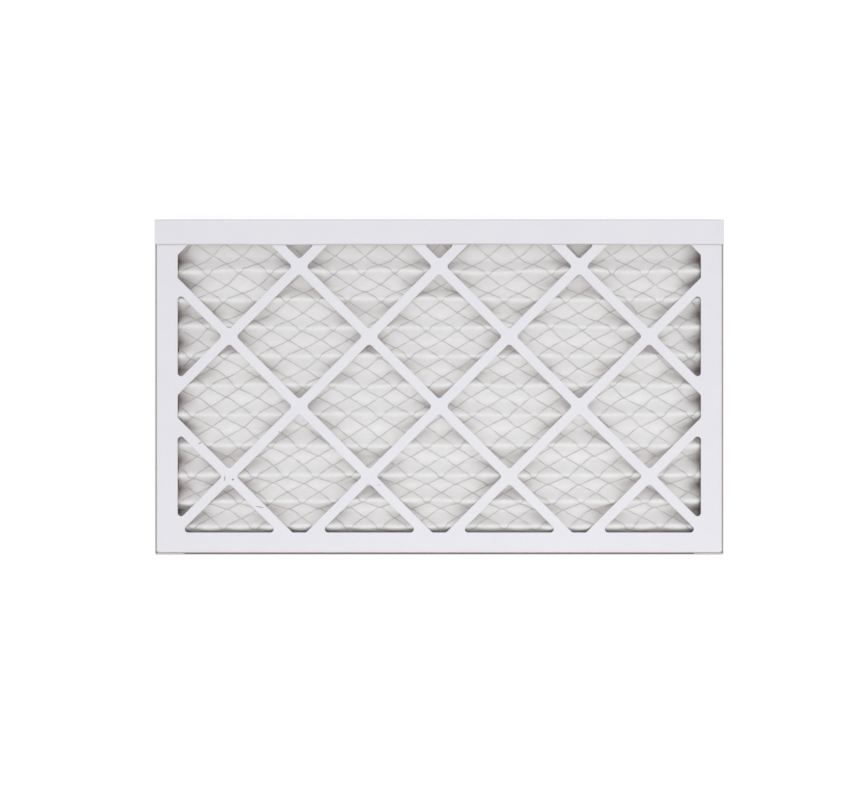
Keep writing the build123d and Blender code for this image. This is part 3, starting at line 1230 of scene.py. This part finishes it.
@dataclass
class WireMesh:
    """Slit and stretched sheet steel on the front of the web: zigzag strands joined at nodes."""

    media: PleatedMedia
    width: float = 0.85
    thickness: float = 0.3
    gap: float = 0.2
    crest_gap: float = 0.3
    crest_reach: float = 3.0
    strand_samples: int = 8
    node_flat: float = 0.9
    end_clearance: tuple[float, float] = (2.5, 2.0)
    past_crests: float = 9.0

    def strand(self, row: int) -> Skin:
        """Builds the zigzag between one row of nodes and the next.

        The position along the zigzag gives x. The way from row to row is a triangle wave of x
        whose tips are cut short, so that two zigzags lie side by side at a node. The wave is
        turned into a place on the fold line, and the ribbon's section of width by thickness is
        carried along it, flat on the web.

        Args:
            row: The number of the upper row of nodes.

        Returns:
            The closed ribbon.
        """
        media = self.media
        half_pitch = media.mesh_pitch / 2
        left = -media.length / 2 + self.end_clearance[0]
        right = media.length / 2 - self.end_clearance[1]
        count = int((right - left) / half_pitch * self.strand_samples)
        x = np.linspace(left, right, count)
        phase = (x - media.node_x) / media.mesh_pitch - row / 2
        wave = np.abs(phase - np.round(phase)) * 2
        tip = self.node_flat / half_pitch
        bond = self.width / 2 / media.row_height
        wave = bond + (1 - 2 * bond) * np.clip((wave - tip) / (1 - 2 * tip), 0, 1)
        places, rows = media.row_lines()
        s = np.interp(row + wave, rows, places)
        shift_x, shift_s = media.mesh_shift(x, s)
        x, s = x + shift_x, s + shift_s
        s = np.clip(s, media.fold_s[1] - self.past_crests, media.fold_s[-2] + self.past_crests)
        lift = media.thickness / 2 + self.gap + self.thickness / 2
        lift = lift + self.crest_gap * media.nearness(s, media.crest_s, self.crest_reach)
        point, normal = media.surface(x, s, lift)
        along = np.gradient(point, axis=0)
        beside = np.cross(along, normal)
        beside /= np.linalg.norm(beside, axis=1, keepdims=True)
        rings = np.stack(
            [
                point + across * beside * self.width / 2 + up * normal * self.thickness / 2
                for across, up in ((-1, -1), (1, -1), (1, 1), (-1, 1))
            ],
            axis=1,
        )
        return tube_skin(rings, Side.COATED)

    def build(self, finish: bpy.types.Material) -> bpy.types.Object:
        """Makes the wire mesh.

        Args:
            finish: The strands' material.

        Returns:
            The piece.
        """
        rows = range(ROWS_PER_PLEAT * (len(self.media.crest_s) - 1))
        skin = joined([self.strand(row) for row in rows])
        piece = make_piece("wire_mesh", skin, finish, 40.0)
        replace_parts(piece, "support_mesh")
        return piece


# ---------------------------------------------------------------------------- the adhesive
@dataclass
class AdhesiveBead:
    """One run of hot-melt on the rear border, of uneven width and height."""

    node: str
    run: Run
    stations: int = 150
    around: int = 14
    narrowing: float = 1.3
    narrowing_length: float = 34.0
    lowering: float = 0.5
    lowering_length: float = 23.0
    end_sharpness: int = 60

    def build(self, finish: bpy.types.Material) -> bpy.types.Object:
        """Makes the bead in the space that its node holds.

        The section is an arch: its height is the bead's height times the fourth root of one
        less the fourth power of the place across. Both its width and its height wander along
        the run.

        Args:
            finish: The adhesive's material.

        Returns:
            The piece.
        """
        low, high = (np.array(corner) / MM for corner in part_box(self.node))
        axis, other = (0, 1) if self.run is Run.X else (1, 0)
        along = np.linspace(low[axis], high[axis], self.stations)
        rng = np.random.default_rng(sum(map(ord, self.node)))
        narrow, lower = (
            most / 2 * (1 + gentle_noise(rng, along, 0 * along, length))
            for most, length in (
                (self.narrowing, self.narrowing_length),
                (self.lowering, self.lowering_length),
            )
        )
        from_middle = np.abs(np.linspace(-1, 1, self.stations))
        ends = np.clip(1 - from_middle**self.end_sharpness, 0.05, 1)
        half = ((high[other] - low[other]) / 2 - narrow) * (0.4 + 0.6 * ends)
        height = (high[2] - low[2] - lower) * (0.2 + 0.4 * ends)
        middle = (high[other] + low[other]) / 2
        place = np.cos(np.linspace(0, np.pi, self.around))
        arch = np.clip(1 - place**4, 0, None) ** 0.25
        section_across = middle + half[:, None] * place[None, :]
        section_up = low[2] + height[:, None] * arch[None, :]
        run_at = np.repeat(along[:, None], self.around, axis=1)
        rings = placed(self.run, np.stack([section_across, section_up], axis=-1), run_at)
        name = self.node.replace("seal", "adhesive")
        piece = make_piece(name, tube_skin(rings, Side.COATED), finish, 60.0)
        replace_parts(piece, self.node)
        return piece


# --------------------------------------------------------------------------------- studio
@dataclass(frozen=True)
class Studio:
    """Floor, world, lamps and camera."""

    floor_half: float = 25.0
    floor_z: float = -0.0003
    sky: Colour = (0.985, 0.99, 1.0, 1.0)
    sky_strength: float = 0.73
    sun_strength: float = 0.53
    sun_angle: float = 60.0
    sun_from: Point = (0.05, 0.42, 1.0)
    panel_power: float = 1.4
    panel_size: float = 0.5
    panel_at: Point = (0.14, -0.5, 0.75)
    lens: float = 23.97
    camera_at: Point = (-0.0072, -0.0104, 0.51835)

    def build_floor(self) -> None:
        """Makes the pale floor, which keeps the object's shadow and looks white to the camera."""
        half = self.floor_half
        signs = ((-1, -1), (1, -1), (1, 1), (-1, 1))
        corners = [(x * half, y * half, self.floor_z) for x, y in signs]
        mesh = bpy.data.meshes.new("floor")
        mesh.from_pydata(corners, [], [(0, 1, 2, 3)])
        mesh.materials.append(FloorFinish().material())
        floor = linked("floor", mesh)

    def build_world(self) -> None:
        """Makes the even sky, which looks white to the camera and in reflections."""
        world = bpy.data.worlds.new("studio")
        bpy.context.scene.world = world
        world.use_nodes = True
        nodes = NodeTree(world.node_tree)
        background = world.node_tree.nodes["Background"]
        strength = nodes.scaled(nodes.seen_directly(), 0.0, 1.0, self.sky_strength, 1.0)
        nodes.feed(background, {"Color": self.sky, "Strength": strength})

    def lamp(self, name: str, kind: str, energy: float, place: Point) -> bpy.types.Object:
        """Makes a lamp that shines from the direction of a place towards the origin."""
        light = bpy.data.lights.new(name, kind)
        light.energy = energy
        lamp = linked(name, light)
        lamp.rotation_euler = Vector(place).to_track_quat("Z", "Y").to_euler()
        return lamp

    def build_lamps(self) -> None:
        """Makes a broad soft key light and a weaker soft panel below the right-hand corner."""
        key = self.lamp("key", "SUN", self.sun_strength, self.sun_from)
        key.data.angle = math.radians(self.sun_angle)
        panel = self.lamp("panel", "AREA", self.panel_power, self.panel_at)
        panel.data.size = self.panel_size
        panel.location = self.panel_at

    def build_camera(self) -> None:
        """Makes the camera, straight above the filter and close to it."""
        data = bpy.data.cameras.new("camera")
        data.sensor_width = 36.0
        data.lens = self.lens
        data.clip_start = 0.01
        camera = linked("camera", data)
        camera.location = self.camera_at
        bpy.context.scene.camera = camera

    def build(self) -> None:
        """Makes the whole studio."""
        self.build_camera()
        self.build_world()
        self.build_lamps()
        self.build_floor()
        bpy.context.scene.view_settings.view_transform = "Standard"


def main() -> None:
    """Builds the studio and every piece of the filter."""
    logging.basicConfig(level=logging.INFO, format="%(message)s")
    Studio().build()
    board = BoardFinish().material()
    for name, tray, slot, node in (
        ("outer_tray", OuterTray(), "outer_board", "rear_frame"),
        ("inner_tray", InnerTray(), "inner_board", "front_frame"),
    ):
        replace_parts(make_piece(name, tray.skin(), board), node)
    media = PleatedMedia()
    media.build(MediaFinish().material())
    WireMesh(media).build(WireFinish().material())
    glue = AdhesiveFinish().material()
    for end, run in (("left", Run.Y), ("right", Run.Y), ("top", Run.X), ("bottom", Run.X)):
        AdhesiveBead(f"seal_{end}", run).build(glue)


if __name__ == "__main__":
    main()
